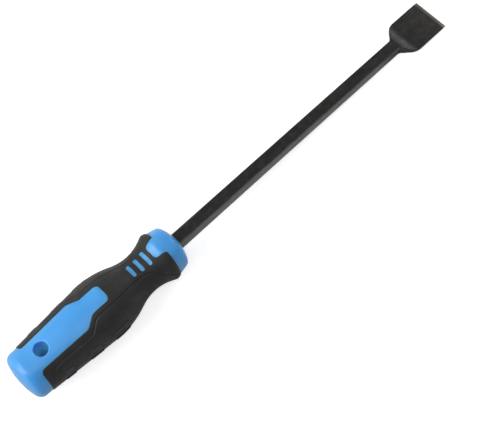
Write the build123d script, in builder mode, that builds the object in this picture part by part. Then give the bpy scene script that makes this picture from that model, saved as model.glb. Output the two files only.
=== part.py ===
from build123d import *
from math import copysign, cos, radians, sin, sqrt, tan
import os

# A sealant scraper: a square steel bar forged out into a wide thin blade, held in a
# two-colour moulded handle. The hard plastic core shows through windows in a soft grip.
# The tool lies along X with the blade at +X, and the blade's faces look up and down Z.
# The origin is the centre of the hang hole, on the tool's axis.

# Lengths along the tool
handle_length = 108.0
exposed_steel_length = 190.7
tang_depth = 74.0
butt_cap_length = 10.0
collar_length = 10.2
hang_hole_inset = 17.7

# The soft grip's skin in side view: straight stretches that meet at rounded corners
grip_rear_radius = 14.4
belly_to_waist_length = 22.4
belly_corner_radius = 17.6
belly_round = 48.0
waist_corner_from_front = 24.6
waist_corner_radius = 9.2
waist_round = 25.5
flare_corner_from_front = 12.5
flare_corner_radius = 14.95
flare_round = 3.0
grip_front_radius = 14.1

# The grip's wall, how far the core lies below the skin, and the round on the grip's ends
grip_wall = 2.2
panel_recess = 0.4
lip_round_share = 0.8

# Butt, collar and hang hole of the hard core
butt_dome_rise = 2.6
butt_corner_round = 4.6
collar_nose_radius = 12.4
collar_dome_rise = 3.6
collar_corner_round = 2.8
hang_hole_radius = 4.0
hang_hole_round = 0.6

# Long window over the core's panel, with half widths across the tool
panel_mouth_half = 8.3
panel_shoulder_half = 9.25
panel_neck_half = 5.4
panel_end_from_front = 48.4
panel_step_length = 6.6
panel_nose_length = 11.6
panel_mouth_round = 2.2
panel_shoulder_round = 3.5
panel_end_round = 2.6

# Short windows across the waist
dash_count = 3
dash_middle_from_front = 25.2
dash_width = 2.2
dash_pitch = 5.0
dash_rear_length = 7.7
dash_front_length = 9.6

# Tongue of the core that runs back from the collar
tongue_length = 6.8
tongue_tip_half = 4.2
tongue_root_half = 5.7
tongue_tip_round = 2.2
tongue_root_round = 1.2

# Moulded line round the pad on each side, with angles from the panel's centre line
pad_rear_margin = 1.4
pad_front_margin = 1.0
pad_rear_flat = 4.0
pad_front_flat = 2.2
pad_nose_length = 4.4
pad_rear_angle = 48.5
pad_belly_angle = 28.0
pad_waist_angle = 29.5
pad_knee_angle = 68.0
pad_rear_round = 3.0
pad_corner_round = 5.0
pad_knee_round = 4.0
pad_front_round = 2.0
pad_line_width = 0.9
pad_line_depth = 0.45
pad_line_view = 32.0

# Raised bars on each pad, in two rows beside its centre line
bar_count = 3
bar_width = 2.6
bar_row_spacing = 6.2
bar_rise = 0.45
bar_first_from_butt = 21.5
bar_pitch = 16.8
bar_first_length = 6.5
bar_growth = 2.0

# Steel bar and the tang that the handle is moulded on
steel_side = 7.4
steel_end_width = 7.0
steel_end_thickness = 5.6
arris = 0.9
arris_end = 0.2
tang_point_length = 4.0
tang_point_share = 0.55
wing_from_end = 12.0
wing_length = 11.0
wing_span = 11.0
wing_thickness = 4.2

# Forged blade
blade_width = 21.7
blade_length = 22.4
neck_length = 5.9
neck_fillet = 3.5
shoulder_fillet = 7.0
blade_root_thickness = 2.2
blade_tip_thickness = 1.4
ramp_from_neck = 1.35
ramp_angle = 35.0
ramp_foot_round = 6.0
bevel_length = 1.8
cutting_edge_thickness = 0.5

# One overrun for every cut, and how many places are worked out along the moulded line
overrun = 5.0
pad_line_steps = 32

# Stations and radii worked out from the sizes above
butt_x = -hang_hole_inset
front_x = butt_x + handle_length
grip_rear_x = butt_x + butt_cap_length
grip_front_x = front_x - collar_length
waist_x = front_x - waist_corner_from_front
belly_x = waist_x - belly_to_waist_length
butt_radius = grip_rear_radius - panel_recess
tang_end_x = front_x - tang_depth
edge_x = front_x + exposed_steel_length
shoulder_x = edge_x - blade_length
neck_x = shoulder_x - neck_length
window_reach = belly_corner_radius + overrun


def skin_outline(depth):
    """Side outline of the gripped length, set in from the grip's skin by depth."""
    return FilletPolyline(
        (grip_rear_x, grip_rear_radius - depth),
        (belly_x, belly_corner_radius - depth),
        (waist_x, waist_corner_radius - depth),
        (front_x - flare_corner_from_front, flare_corner_radius - depth),
        (grip_front_x, grip_front_radius - depth),
        radius=[belly_round, waist_round, flare_round],
    )


def skin_band(outer_depth, inner_depth):
    """Face between two depths below the grip's skin, over the gripped length."""
    with BuildLine() as band_outline:
        outer = skin_outline(outer_depth)
        inner = skin_outline(inner_depth)
        Line(outer @ 0, inner @ 0)
        Line(outer @ 1, inner @ 1)
    make_face(band_outline.edges())


with BuildLine() as skin_line:
    skin_outline(0)
skin_stretches = skin_line.edges().sort_by(Axis.X)


def skin_radius(x):
    """Radius of the grip's skin at x, on the straight or the round stretch there."""
    stretch = [edge for edge in skin_stretches if (edge @ 0).X <= x][-1]
    if stretch.geom_type == GeomType.LINE:
        start, end = stretch @ 0, stretch @ 1
        return start.Y + (end.Y - start.Y) * (x - start.X) / (end.X - start.X)
    centre = stretch.arc_center
    bulge = sqrt(stretch.radius**2 - (x - centre.X) ** 2)
    return centre.Y + copysign(bulge, (stretch @ 0).Y - centre.Y)


def seat_outline():
    """The grip's inside: two straight stretches below each round one of the skin."""
    places = [stretch @ share for stretch in skin_stretches for share in (0, 0.5)]
    places.append(skin_stretches[-1] @ 1)
    return Polyline([(place.X, place.Y - grip_wall) for place in places])


# Steel: one square bar, with its arrises cut, whose thickness tapers towards the blade
with BuildPart() as blade_shank:
    blank_x = neck_x - steel_side / 2
    with BuildSketch(Plane.YZ.offset(front_x)):
        Rectangle(steel_side, steel_side)
        chamfer(vertices(), arris)
    with BuildSketch(Plane.YZ.offset(blank_x)):
        Rectangle(steel_end_width, steel_end_thickness)
        chamfer(vertices(), arris_end)
    loft(ruled=True)

    # The tang keeps the bar's section inside the handle and ends in a blunt point
    with BuildSketch(Plane.YZ.offset(tang_end_x + tang_point_length)):
        Rectangle(steel_side, steel_side)
        chamfer(vertices(), arris)
    extrude(amount=tang_depth - tang_point_length)
    with BuildSketch(Plane.YZ.offset(tang_end_x + tang_point_length)):
        Rectangle(steel_side, steel_side)
        chamfer(vertices(), arris)
    with BuildSketch(Plane.YZ.offset(tang_end_x)):
        Rectangle(steel_side * tang_point_share, steel_side * tang_point_share)
        chamfer(vertices(), arris * tang_point_share)
    loft(ruled=True)

    # Wings pressed out of the tang stop the handle from turning on it
    with BuildSketch(Plane.XY):
        with Locations((tang_end_x + wing_from_end + wing_length / 2, 0)):
            Rectangle(wing_length, wing_span)
        chamfer(vertices(), (wing_span - steel_side) / 2)
    extrude(amount=wing_thickness / 2, both=True)

    # Blade blank in plan: the neck flares through the shoulders to parallel sides
    with BuildSketch(Plane.XY):
        with BuildLine():
            FilletPolyline(
                (blank_x, 0),
                (blank_x, steel_end_width / 2),
                (neck_x, steel_end_width / 2),
                (shoulder_x, blade_width / 2),
                (edge_x, blade_width / 2),
                (edge_x, 0),
                radius=[0, neck_fillet, shoulder_fillet, 0],
            )
            Line((edge_x, 0), (blank_x, 0))
        make_face()
        mirror(about=Plane.XZ)
    extrude(amount=steel_end_thickness / 2, both=True)

    # A ramp leads down from the bar to each face, which thins to a bevel ground at the tip
    ramp_slope = tan(radians(ramp_angle))
    crest_x = neck_x + ramp_from_neck
    foot_x = crest_x + (steel_end_thickness - blade_root_thickness) / 2 / ramp_slope
    clear_z = steel_end_thickness / 2 + overrun
    for side in (1, -1):
        with BuildSketch(Plane.XZ):
            with BuildLine():
                FilletPolyline(
                    (crest_x - overrun / ramp_slope, side * clear_z),
                    (foot_x, side * blade_root_thickness / 2),
                    (edge_x - bevel_length, side * blade_tip_thickness / 2),
                    (edge_x, side * cutting_edge_thickness / 2),
                    (edge_x + overrun, side * cutting_edge_thickness / 2),
                    (edge_x + overrun, side * clear_z),
                    radius=[ramp_foot_round, 0, 0, 0],
                )
                Line((edge_x + overrun, side * clear_z), (crest_x - overrun / ramp_slope, side * clear_z))
            make_face()
        extrude(amount=blade_width, both=True, mode=Mode.SUBTRACT)

# Soft grip before its surface detail: a waisted sleeve with windows right through it
with BuildPart() as grip_blank:
    with BuildSketch(Plane.XY):
        with BuildLine():
            skin = skin_outline(0)
            seat = seat_outline()
            Line(skin @ 0, seat @ 0)
            Line(skin @ 1, seat @ 1)
        make_face()
    revolve(axis=Axis.X)
    rims = grip_blank.edges().filter_by(GeomType.CIRCLE).group_by(Axis.X)
    outer_rims = [rim.sort_by(SortBy.RADIUS)[-1] for rim in (rims[0], rims[-1])]
    fillet(outer_rims, panel_recess * lip_round_share)

    with BuildSketch(Plane.XY):
        # The panel window opens to the butt and steps in to a blunt end
        panel_end_x = front_x - panel_end_from_front
        panel_neck_x = panel_end_x - panel_nose_length
        panel_shoulder_x = panel_neck_x - panel_step_length
        with BuildLine():
            FilletPolyline(
                (butt_x, 0),
                (butt_x, window_reach),
                (grip_rear_x, window_reach),
                (grip_rear_x, panel_mouth_half),
                (panel_shoulder_x, panel_shoulder_half),
                (panel_neck_x, panel_neck_half),
                (panel_end_x, panel_neck_half),
                (panel_end_x, 0),
                radius=[
                    0,
                    0,
                    panel_mouth_round,
                    panel_shoulder_round,
                    panel_shoulder_round,
                    panel_end_round,
                ],
            )
            Line((panel_end_x, 0), (butt_x, 0))
        make_face()

        # The tongue window opens to the collar
        tongue_x = grip_front_x - tongue_length
        with BuildLine():
            FilletPolyline(
                (front_x, 0),
                (front_x, window_reach),
                (grip_front_x, window_reach),
                (grip_front_x, tongue_root_half),
                (tongue_x, tongue_tip_half),
                (tongue_x, 0),
                radius=[0, 0, tongue_root_round, tongue_tip_round],
            )
            Line((tongue_x, 0), (front_x, 0))
        make_face()
        mirror(about=Plane.XZ)

        # Round-ended dashes across the waist, longer towards the blade
        for dash in range(dash_count):
            growth = dash / (dash_count - 1)
            dash_length = dash_rear_length + (dash_front_length - dash_rear_length) * growth
            dash_shift = dash_pitch * (dash - (dash_count - 1) / 2)
            with Locations((front_x - dash_middle_from_front + dash_shift, 0)):
                SlotOverall(dash_length, dash_width, rotation=90)
    extrude(amount=window_reach, both=True, mode=Mode.SUBTRACT)

# Hard core: butt, panels, dashes, tongues and collar in one moulding under the grip
with BuildPart() as handle_core:
    with BuildSketch(Plane.XY):
        butt_corner = (butt_x + butt_dome_rise, butt_radius)
        collar_corner = (front_x - collar_dome_rise, collar_nose_radius)
        with BuildLine():
            TangentArc((butt_x, 0), butt_corner, tangent=(0, 1))
            Line(butt_corner, (grip_rear_x, butt_radius))
            skin = skin_outline(panel_recess)
            Line(skin @ 1, collar_corner)
            TangentArc((front_x, 0), collar_corner, tangent=(0, 1))
            Line((front_x, 0), (butt_x, 0))
        make_face()
        fillet(vertices().sort_by_distance(butt_corner)[0], butt_corner_round)
        fillet(vertices().sort_by_distance(collar_corner)[0], collar_corner_round)
    revolve(axis=Axis.X)

    # The hang hole goes right through both panels and has rounded mouths
    with BuildSketch(Plane.XY):
        Circle(hang_hole_radius)
    extrude(amount=window_reach, both=True, mode=Mode.SUBTRACT)
    bore = handle_core.faces().filter_by(
        lambda face: face.geom_type == GeomType.CYLINDER and face.radius < butt_radius / 2
    )
    fillet(bore.edges().filter_by(GeomType.LINE, reverse=True), hang_hole_round)

    # The core gives way to the grip's sleeve and is moulded round the tang
    add(grip_blank.part, mode=Mode.SUBTRACT)
    add(blade_shank.part, mode=Mode.SUBTRACT)

# Upper half of the pad's outline laid flat: along the tool, and up from the side's centre
pad_rear_x = grip_rear_x + pad_rear_margin
pad_front_x = grip_front_x - pad_front_margin
with BuildLine() as flat_outline:
    FilletPolyline(
        (pad_rear_x, -pad_line_width),
        (pad_rear_x, pad_rear_flat),
        (pad_rear_x + pad_nose_length, belly_corner_radius * radians(90 - pad_rear_angle)),
        (panel_shoulder_x, belly_corner_radius * radians(90 - pad_rear_angle)),
        (panel_neck_x, belly_corner_radius * radians(90 - pad_belly_angle)),
        (waist_x, belly_corner_radius * radians(90 - pad_waist_angle)),
        ((waist_x + pad_front_x) / 2, belly_corner_radius * radians(90 - pad_knee_angle)),
        (pad_front_x, pad_front_flat),
        (pad_front_x, -pad_line_width),
        radius=[pad_rear_round, *[pad_corner_round] * 4, pad_knee_round, pad_front_round],
    )


def pad_edge(side):
    """One edge of the moulded line, seen square to the middle of its quarter of the skin."""
    edge = []
    for step in range(pad_line_steps + 1):
        share = step / pad_line_steps
        across = (flat_outline.wire() % share).rotate(Axis.Z, 90)
        flat = flat_outline.wire() @ share + across * side * pad_line_width / 2
        turn = flat.Y / belly_corner_radius - radians(pad_line_view)
        edge.append((flat.X, skin_radius(flat.X) * sin(turn)))
    return edge


# The line is a shallow channel cut square to the skin, on each side above and below
with BuildPart() as pad_line:
    view = radians(pad_line_view)
    with BuildSketch(Plane(origin=(0, 0, 0), x_dir=(1, 0, 0), z_dir=(0, -cos(view), sin(view)))):
        with BuildLine():
            upper = Spline(pad_edge(1))
            lower = Spline(pad_edge(-1))
            Line(upper @ 0, lower @ 0)
            Line(upper @ 1, lower @ 1)
        make_face()
    extrude(amount=window_reach)
    with BuildSketch(Plane.XY):
        skin_band(-overrun, pad_line_depth)
    revolve(axis=Axis.X, mode=Mode.INTERSECT)
    mirror(about=Plane.XY)
    mirror(about=Plane.XZ)

# Raised bars: round-ended blocks that stand a little above the skin on each side
with BuildPart() as grip_bars:
    with BuildSketch(Plane.XZ):
        for bar in range(bar_count):
            bar_x = butt_x + bar_first_from_butt + bar_pitch * bar
            bar_length = bar_first_length + bar_growth * bar
            with GridLocations(0, bar_row_spacing, 1, 2):
                with Locations((bar_x, 0)):
                    SlotOverall(bar_length, bar_width)
    extrude(amount=window_reach, both=True)
    with BuildSketch(Plane.XY):
        skin_band(-bar_rise, grip_wall / 2)
    revolve(axis=Axis.X, mode=Mode.INTERSECT)

with BuildPart() as soft_grip:
    add(grip_blank.part)
    add(grip_bars.part)
    add(pad_line.part, mode=Mode.SUBTRACT)

os.makedirs("parts", exist_ok=True)
blade_shank.part.label = "blade_shank"
export_step(blade_shank.part, "parts/blade_shank.step")
handle_core.part.label = "handle_core"
export_step(handle_core.part, "parts/handle_core.step")
soft_grip.part.label = "soft_grip"
export_step(soft_grip.part, "parts/soft_grip.step")
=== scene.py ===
"""A sealant scraper, dressed for rendering: a forged steel bar in a two-colour moulded handle.

The tool lies along X with its blade at +X and the centre of its hang hole at the origin. The
handle's shapes repeat in four quarters about the tool's axis, so each is worked out once over a
quarter of the skin, as a place along the tool and an angle from the top, and then mirrored.
Sizes are in millimetres until a mesh is made, and in metres from there on.
"""

import logging
import math
from dataclasses import dataclass, field
from enum import Enum
from typing import Callable, Sequence

import bpy
import numpy as np
from mathutils import Matrix, Vector
from mathutils.geometry import delaunay_2d_cdt


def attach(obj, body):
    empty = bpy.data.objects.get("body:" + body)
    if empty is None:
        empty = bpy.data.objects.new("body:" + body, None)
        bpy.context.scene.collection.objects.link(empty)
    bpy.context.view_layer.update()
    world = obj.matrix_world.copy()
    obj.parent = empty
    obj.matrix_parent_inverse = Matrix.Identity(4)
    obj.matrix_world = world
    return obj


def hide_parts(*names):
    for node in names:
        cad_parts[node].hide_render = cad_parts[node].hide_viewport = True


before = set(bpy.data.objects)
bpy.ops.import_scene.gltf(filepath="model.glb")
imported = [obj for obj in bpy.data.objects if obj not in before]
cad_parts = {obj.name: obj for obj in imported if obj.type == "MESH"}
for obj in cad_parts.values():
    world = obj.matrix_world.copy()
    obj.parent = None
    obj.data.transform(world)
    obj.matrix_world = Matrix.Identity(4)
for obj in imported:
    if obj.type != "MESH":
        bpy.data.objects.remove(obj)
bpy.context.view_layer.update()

logging.basicConfig(level=logging.INFO, format="%(message)s")
log = logging.getLogger("scraper")

Array = np.ndarray
Corners = Sequence[Sequence[float]]
Colour = tuple[float, float, float, float]
Material = bpy.types.Material
Node = bpy.types.Node
Piece = bpy.types.Object
Socket = bpy.types.NodeSocket
Tree = bpy.types.NodeTree

MILLIMETRE = 0.001
QUARTER_TURN = math.pi / 2
# Two faces that meet at a greater angle than this have a sharp edge between them
SMOOTH_BELOW = math.radians(40)
# Points that round to the same place on this grid are one point
WELD_STEPS_PER_MILLIMETRE = 1e4
# The radius at which angles are laid out flat, to be filled with triangles
FLAT_RADIUS = 14.0


# Outlines and distances

def unit(way: Array) -> Array:
    """The same way with a length of 1."""
    return way / np.linalg.norm(way)


def arc(radius: float, angles: Array) -> Array:
    """Places on a circle about the origin: radius times the cosine and sine of each angle."""
    return radius * np.column_stack([np.cos(angles), np.sin(angles)])


def shorter_turn(first: float, last: float) -> float:
    """The turn from one angle to another, which is never more than half a turn."""
    return (last - first + np.pi) % (2 * np.pi) - np.pi


def rounded_path(
    corners: Corners, rounds: Sequence[float], spacing: float, fewest_steps: int = 3
) -> Array:
    """Samples straight runs whose inner corners are tangent arcs.

    An arc of radius r at a corner with inside angle 2h begins r/tan(h) before the corner, and
    its centre lies r/sin(h) from the corner along the angle's bisector.

    Args:
        corners: Places of the corners, ends included.
        rounds: Radius of each inner corner.
        spacing: Longest step between samples.
        fewest_steps: Fewest steps in an arc.

    Returns:
        One row per sample, from the first corner to the last.
    """
    places = np.asarray(corners, float)
    stretches = [places[:1]]
    for before, corner, after, radius in zip(places, places[1:], places[2:], rounds):
        back, ahead = unit(before - corner), unit(after - corner)
        half = np.arccos(np.clip(back @ ahead, -1, 1)) / 2
        centre = corner + unit(back + ahead) * radius / np.sin(half)
        start, end = (corner + way * radius / np.tan(half) - centre for way in (back, ahead))
        first = np.arctan2(start[1], start[0])
        sweep = shorter_turn(first, np.arctan2(end[1], end[0]))
        steps = max(fewest_steps, int(np.ceil(abs(sweep) * radius / spacing)))
        stretches.append(centre + arc(radius, first + sweep * np.linspace(0, 1, steps + 1)))
    stretches.append(places[-1:])
    return filled_path(np.vstack(stretches), spacing)


def filled_path(path: Array, spacing: float) -> Array:
    """Adds samples to the runs of a path that are longer than spacing, and keeps the others.

    Args:
        path: Places along the path.
        spacing: Longest step wanted.

    Returns:
        The denser path.
    """
    lengths = np.linalg.norm(np.diff(path, axis=0), axis=1)
    counts = np.maximum(1, np.ceil(lengths / spacing)).astype(int)
    run = np.repeat(np.arange(len(counts)), counts)
    first = np.repeat(np.cumsum(counts) - counts, counts)
    share = ((np.arange(counts.sum()) - first) / counts[run])[:, None]
    return np.vstack([path[run] * (1 - share) + path[run + 1] * share, path[-1:]])


def read_path(path: Array, along: Array) -> Array:
    """The path's second coordinate where its first one is along."""
    return np.interp(along, path[:, 0], path[:, 1])


def led_across(first: Array, last: Array, shares: Array) -> Array:
    """A grid that leads from one row to another: first times (1 - share) plus last times share."""
    share = shares[:, None, None]
    return first * (1 - share) + last * share


def eased(share: Array) -> Array:
    """The smooth step 3s^2 - 2s^3 of a share, which is held between 0 and 1."""
    held = np.clip(share, 0, 1)
    return held * held * (3 - 2 * held)


def hump(distance: Array, reach: float) -> Array:
    """Half a cosine wave, from 1 at no distance to 0 at the reach and beyond."""
    return 0.5 + 0.5 * np.cos(np.pi * np.clip(distance / reach, 0, 1))


def fading(distance: Array, length: float) -> Array:
    """Falls from 1 at no distance, by a factor e over each length."""
    return np.exp(-distance / length)


def round_drop(distance: Array, radius: float) -> Array:
    """How far a quarter-round edge of this radius has fallen at a distance in from it."""
    short = np.clip(radius - distance, 0, radius)
    return radius - np.sqrt(radius**2 - short**2)


def wrapped(plan: Array, radius: Array) -> Array:
    """Turns plan places, along and across, into places and angles at these radii."""
    return np.column_stack([plan[:, 0], np.arcsin(np.clip(plan[:, 1] / radius, -1, 1))])


def turned(along: Array, turn: Array, radius: Array) -> Array:
    """Points of a surface about the axis: across is minus radius times the angle's sine."""
    points = along, -radius * np.sin(turn), radius * np.cos(turn)
    return np.stack(np.broadcast_arrays(*points), axis=-1)


def on_quarter(places: Array, radius: Array) -> Array:
    """Turns places and angles into points at these radii."""
    return turned(places[:, 0], places[:, 1], radius)


@dataclass(frozen=True)
class SkinProfile:
    """The soft grip's skin in side view: straight stretches between rounded corners.

    Attributes:
        corners: Place along the tool and radius of each corner, ends included.
        rounds: Radius of the arc at each inner corner.
        spacing: Longest step of the outline from which radii are read.
    """

    corners: tuple[tuple[float, float], ...]
    rounds: tuple[float, ...]
    spacing: float = 0.05

    def __post_init__(self) -> None:
        """Keeps a finely sampled outline, from which radii are read."""
        outline = rounded_path(self.corners, self.rounds, self.spacing)
        object.__setattr__(self, "outline", outline)

    def radius(self, along: Array) -> Array:
        """Radius of the skin at places along the tool."""
        return read_path(self.outline, along)


@dataclass(frozen=True)
class HandlePlan:
    """Every size that the grip and the core share, in millimetres.

    The butt's place is measured from the hang hole's centre, and the others from the butt. The
    belly, the waist and the flare are each a place, a radius and the round of that corner.

    Attributes:
        mouth_run: How many rounds past the panel's mouth its edge is laid out in plan.
        root_run: The same at the tongue's root.
        step: Spacing of places along every cut edge.
        plan_step: Spacing of the plan outlines from which these are taken.
        fine: Spacing of the triangles on surfaces that show.
        coarse: Spacing of those on the seats.
    """

    butt: float = -17.7
    length: float = 108.0
    butt_cap: float = 10.0
    collar: float = 10.2
    rear_radius: float = 14.4
    front_radius: float = 14.1
    belly: tuple[float, float, float] = (61.0, 17.6, 48.0)
    waist: tuple[float, float, float] = (83.4, 9.2, 25.5)
    flare: tuple[float, float, float] = (95.5, 14.95, 3.0)
    wall: float = 2.2
    recess: float = 0.4
    lip_round: float = 0.32
    mouth_half: float = 8.3
    shoulder_half: float = 9.25
    neck_half: float = 5.4
    shoulder: float = 41.4
    neck: float = 48.0
    panel_end: float = 59.6
    mouth_round: float = 2.2
    mouth_run: float = 1.5
    shoulder_round: float = 3.5
    end_round: float = 2.6
    dash_lengths: tuple[float, ...] = (7.7, 8.65, 9.6)
    dash_width: float = 2.2
    dash_pitch: float = 5.0
    dash_middle: float = 82.8
    dash_end_places: int = 25
    tongue: float = 6.8
    tip_half: float = 4.2
    root_half: float = 5.7
    tip_round: float = 2.2
    root_round: float = 1.2
    root_run: float = 3.0
    step: float = 0.55
    plan_step: float = 0.1375
    fine: float = 1.1
    coarse: float = 3.0

    @property
    def rear_x(self) -> float:
        """Rear end of the grip."""
        return self.butt + self.butt_cap

    @property
    def front_x(self) -> float:
        """Front end of the grip."""
        return self.nose_x - self.collar

    @property
    def nose_x(self) -> float:
        """Front end of the handle."""
        return self.butt + self.length

    @property
    def skin(self) -> SkinProfile:
        """Lays out the grip's skin from its two ends and the three bends between them.

        Returns:
            The skin.
        """
        bends = (self.belly, self.waist, self.flare)
        inner = tuple((self.butt + place, radius) for place, radius, _ in bends)
        rear, front = (self.rear_x, self.rear_radius), (self.front_x, self.front_radius)
        return SkinProfile((rear, *inner, front), tuple(bend[2] for bend in bends))

    def to_skin(self, plan: Array) -> Array:
        """Lays plan places on the skin as places and angles."""
        return wrapped(plan, self.skin.radius(plan[:, 0]))

    def evened(self, path: Array) -> Array:
        """Spaces a path evenly over the skin and keeps its ends.

        Args:
            path: Places and angles.

        Returns:
            Places and angles a step apart.
        """
        middle = (path[1:, 0] + path[:-1, 0]) / 2
        steps = np.hypot(np.diff(path[:, 0]), np.diff(path[:, 1]) * self.skin.radius(middle))
        run = np.concatenate([[0], np.cumsum(steps)])
        even = np.linspace(0, run[-1], int(np.ceil(run[-1] / self.step)) + 1)
        return np.column_stack([np.interp(even, run, path[:, axis]) for axis in (0, 1)])

    def bridge(self, start: Sequence[float], end: Sequence[float]) -> Array:
        """A straight row of finely spaced places and angles between two of them."""
        return filled_path(np.array([start, end]), self.fine)

    def panel_path(self) -> Array:
        """Edge of the grip from the side's centre, down its rear end and round the panel.

        Returns:
            Places and angles.
        """
        shoulder, neck, end = self.butt + np.array([self.shoulder, self.neck, self.panel_end])
        corners = [
            (self.rear_x, self.mouth_half + self.mouth_run * self.mouth_round),
            (self.rear_x, self.mouth_half),
            (shoulder, self.shoulder_half),
            (neck, self.neck_half),
            (end, self.neck_half),
            (end, 0),
        ]
        rounds = [self.mouth_round, self.shoulder_round, self.shoulder_round, self.end_round]
        plan = rounded_path(corners, rounds, self.plan_step)
        return self.evened(np.vstack([[self.rear_x, QUARTER_TURN], self.to_skin(plan)]))

    def dash_path(self, dash: int) -> Array:
        """Half outline of one dash, from its rear side over its round end to its front side.

        Args:
            dash: The dash's number, from 0 at the rear.

        Returns:
            Places and angles.
        """
        from_middle = dash - len(self.dash_lengths) // 2
        centre = self.butt + self.dash_middle + self.dash_pitch * from_middle
        half = self.dash_width / 2
        end = self.dash_lengths[dash] / 2 - half
        cap = np.array([centre, end]) + arc(half, np.linspace(np.pi, 0, self.dash_end_places))
        return self.evened(self.to_skin(np.vstack([[centre - half, 0], cap, [centre + half, 0]])))

    def tongue_path(self) -> Array:
        """Edge of the grip from the tongue's tip, round the tongue and up its front end.

        Returns:
            Places and angles.
        """
        tip = self.front_x - self.tongue
        corners = [
            (tip, 0),
            (tip, self.tip_half),
            (self.front_x, self.root_half),
            (self.front_x, self.root_run * self.root_round + self.root_half),
        ]
        plan = rounded_path(corners, [self.tip_round, self.root_round], self.plan_step)
        return self.evened(np.vstack([self.to_skin(plan), [self.front_x, QUARTER_TURN]]))

    def cut_paths(self) -> list[Array]:
        """All the grip's cut edges in one quarter, each with the grip on its left."""
        dashes = (self.dash_path(dash) for dash in range(len(self.dash_lengths)))
        return [self.panel_path(), *dashes, self.tongue_path()]


@dataclass(frozen=True)
class PadPlan:
    """The moulded line round each pad and the raised bars inside it.

    The line runs from the middle of the pad's rear end to the middle of its front end. It
    follows the panel's shoulder and neck, the waist and a place halfway from there to the front.

    Attributes:
        rear_half: Half the length of the line's straight rear end, and front_half of its front.
        rear_angle: Angle from the top along the shoulder, in degrees, as the others are.
        rounds: Radius of each inner corner on a flat pattern of the skin.
        half_width: Half of the line's width on the skin.
        bar_height: Height of a bar's middle over the pad's.
        bar_ease: How far in from its edge a bar reaches its full rise.
        moat_middle: How far outside a bar its moat is deepest.
    """

    handle: HandlePlan
    rear_gap: float = 1.7
    front_gap: float = 1.8
    rear_half: float = 4.0
    front_half: float = 2.2
    rear_slant: float = 4.4
    rear_angle: float = 48.5
    neck_angle: float = 28.0
    waist_angle: float = 29.5
    flare_angle: float = 68.0
    rounds: tuple[float, ...] = (3.0, 5.0, 5.0, 5.0, 9.0, 4.0, 2.0)
    half_width: float = 0.64
    depth: float = 0.38
    bar_centres: tuple[float, ...] = (3.8, 20.6, 37.4)
    bar_lengths: tuple[float, ...] = (6.5, 8.5, 10.5)
    bar_width: float = 2.6
    bar_height: float = 3.1
    bar_rise: float = 0.4
    bar_ease: float = 0.3
    moat_depth: float = 0.25
    moat_middle: float = 0.3

    def line_path(self) -> Array:
        """Middle of the moulded line over one quarter.

        An angle is laid out flat as its arc at the belly's radius, and a length of arc there
        is that many degrees as 180 / pi / radius times it.

        Returns:
            Places and angles from the top.
        """
        handle = self.handle
        radius = handle.belly[1]
        rear, front = handle.rear_x + self.rear_gap, handle.front_x - self.front_gap
        waist = handle.butt + handle.waist[0]
        degrees = 180 / math.pi / radius
        corners = (
            (rear, 90.0),
            (rear, 90 - self.rear_half * degrees),
            (rear + self.rear_slant, self.rear_angle),
            (handle.butt + handle.shoulder, self.rear_angle),
            (handle.butt + handle.neck, self.neck_angle),
            (waist, self.waist_angle),
            ((waist + front) / 2, self.flare_angle),
            (front, 90 - self.front_half * degrees),
            (front, 90.0),
        )
        flat = [(along, radius * math.radians(angle)) for along, angle in corners]
        return handle.evened(rounded_path(flat, self.rounds, handle.plan_step) / [1, radius])


# Surfaces laid out over a quarter of the skin

def offset_path(path: Array, shift: float, skin: SkinProfile) -> Array:
    """Moves a path sideways over the skin.

    The left normal of each place is taken on the skin, where a step along is dx and a step
    round is radius times the angle, and the angle's share is divided by the radius again.

    Args:
        path: Places and angles.
        shift: Distance to the left of the path.
        skin: The skin that carries the path.

    Returns:
        The moved path, with as many samples.
    """
    radius = skin.radius(path[:, 0])
    along, across = np.gradient(path[:, 0]), np.gradient(path[:, 1]) * radius
    length = np.hypot(along, across)
    return path + shift * np.column_stack([-across / length, along / length / radius])


def path_distance(places: Array, path: Array, skin: SkinProfile) -> Array:
    """Shortest distance over the skin from each place to a path.

    Each run of the path is a segment, and the nearest share along it is held between its ends.

    Args:
        places: Places and angles.
        path: The path's samples.
        skin: The skin that carries both.

    Returns:
        One distance per place.
    """
    least_square = 1e-12
    scale = skin.radius(places[:, 0])[:, None]
    begin, step = path[:-1], np.diff(path, axis=0)
    along, around = places[:, :1] - begin[:, 0], (places[:, 1:] - begin[:, 1]) * scale
    run, turn = step[:, 0], step[:, 1] * scale
    share = np.clip((along * run + around * turn) / (run**2 + turn**2 + least_square), 0, 1)
    return np.hypot(along - share * run, around - share * turn).min(axis=1)


def chained(count: int, first: int, closed: bool = False) -> Array:
    """Joins places that follow each other in a list.

    Args:
        count: How many places there are.
        first: The first one's index.
        closed: Whether the last is joined to the first.

    Returns:
        Index pairs.
    """
    start = np.arange(first, first + count)
    pairs = np.column_stack([start, np.roll(start, -1)])
    return pairs if closed else pairs[:-1]


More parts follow.
